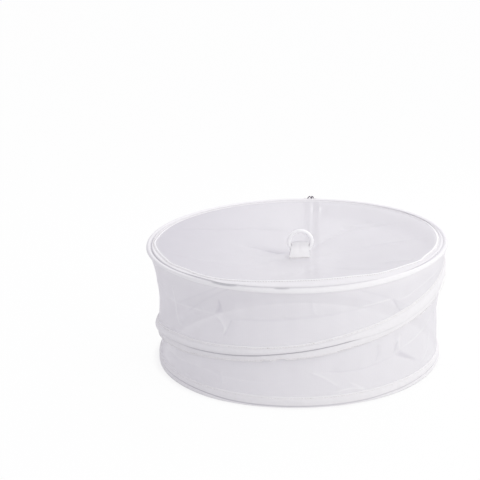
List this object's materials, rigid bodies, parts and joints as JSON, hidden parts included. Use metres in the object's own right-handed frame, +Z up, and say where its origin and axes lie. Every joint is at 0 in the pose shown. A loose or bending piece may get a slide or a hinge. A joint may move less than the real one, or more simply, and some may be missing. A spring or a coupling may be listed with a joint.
{
  "type": "mesh food cover",
  "caption": "Pop-up food cover: a low drum of fine white net on sprung wire hoops joined by a spiral, with a slack net top, a cloth tab and a pull ring.",
  "frame": {"origin": "middle of the circle that the cover stands on, on the table", "axes": "+Z up through the cover, -Y towards the front of the picture, the seam at the back near +Y"},
  "size_m": [0.3, 0.336, 0.1299],
  "materials": {
    "white_tape": "woven, matt",
    "white_net": "fine net, see-through",
    "spring_steel": "drawn",
    "dark_wire": "dark, semi-gloss",
    "ring_plastic": "glossy",
    "tip_plastic": "matt",
    "elastic_cord": "braided, matt",
    "white_thread": "matt"
  },
  "bodies": {
    "base": {"bottom_hoop_wire": "spring_steel", "bottom_hoop_ferrule": "spring_steel", "bottom_casing": "white_tape", "lower_wall_mesh": "white_net", "spiral_wire": "spring_steel", "spiral_wire_tip_head": "tip_plastic", "spiral_wire_tip_tail": "tip_plastic", "spiral_casing": "white_tape", "spiral_lower_tape": "white_tape", "upper_wall_mesh": "white_net", "seam_tape": "white_tape", "seam_binding": "white_net", "seam_tape_end": "white_tape", "closure_loop": "elastic_cord"},
    "lid": {"top_hoop_wire": "spring_steel", "top_hoop_ferrule": "spring_steel", "top_casing": "white_tape", "top_mesh": "white_net", "closure_hook": "dark_wire", "hook_tack_right": "white_thread", "hook_tack_left": "white_thread", "tab_foot": "white_tape"},
    "tab": {"pull_tab": "white_tape"},
    "ring": {"pull_ring": "ring_plastic"}
  },
  "joints": [
    {"name": "collapse", "type": "slide", "parent": "base", "child": "lid", "axis": [0, 0, -1], "range_m": [0, 0.092], "stiffness_N_per_m": 60, "springref_m": -0.02, "deforming": ["lower_wall_mesh", "upper_wall_mesh", "spiral_wire", "spiral_wire_tip_head", "spiral_wire_tip_tail", "spiral_casing", "spiral_lower_tape", "seam_tape", "seam_binding"]},
    {"name": "tab_fold", "type": "hinge", "parent": "lid", "child": "tab", "pos_m": [0.004, 0, 0.10105], "axis": [1, 0, 0], "range_deg": [-70, 70]},
    {"name": "ring_pull", "type": "slide", "parent": "tab", "child": "ring", "axis": [0, 0, 1], "range_m": [0, 0.0025]}
  ]
}
